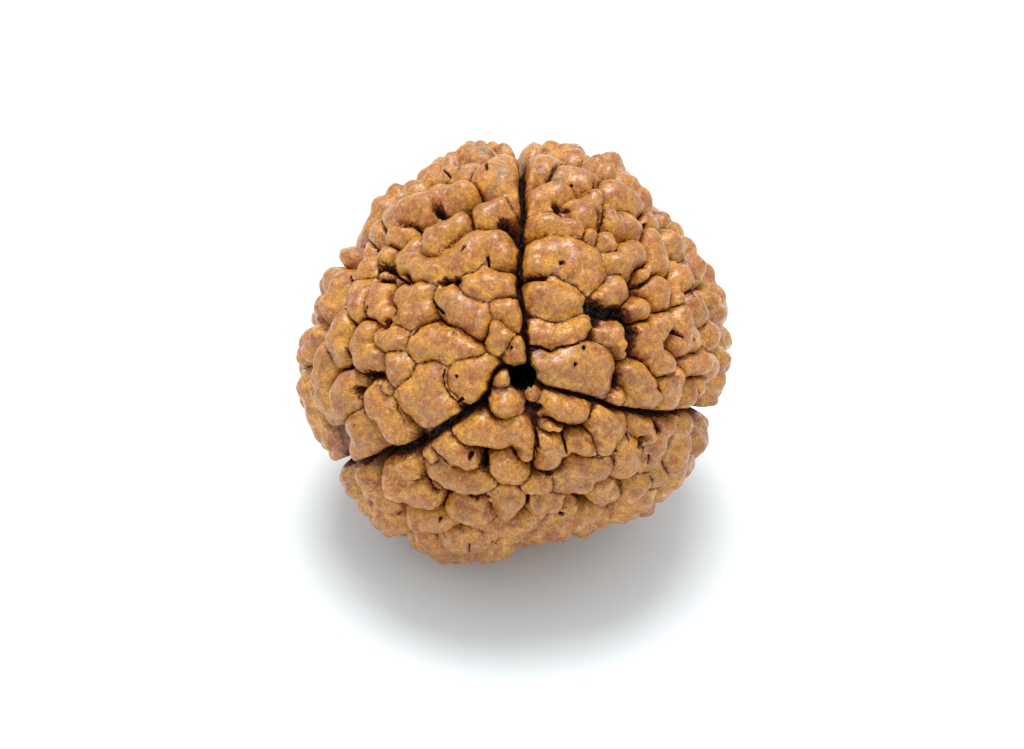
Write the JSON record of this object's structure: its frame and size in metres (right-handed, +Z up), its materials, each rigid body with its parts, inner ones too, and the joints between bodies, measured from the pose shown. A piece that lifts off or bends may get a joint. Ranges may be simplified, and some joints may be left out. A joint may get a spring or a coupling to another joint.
{
  "type": "rudraksha seed",
  "caption": "Drilled rudraksha stone: a round, knobbly ochre-brown seed parted by furrows, bored pole to pole for a thread, lying on one side.",
  "frame": {"origin": "on the small flat that the seed rests on, under its middle", "axes": "+Z up from the ground it lies on; the drilled hole leans up and forward, toward -Y, and the first furrow runs up over the top from it; +X to the right of someone facing the hole"},
  "size_m": [0.0241, 0.023, 0.0229],
  "materials": {
    "stone_ochre": "bare woody stone, soft waxy sheen on the nodules"
  },
  "bodies": {
    "root": {"seed": "stone_ochre"}
  },
  "joints": []
}
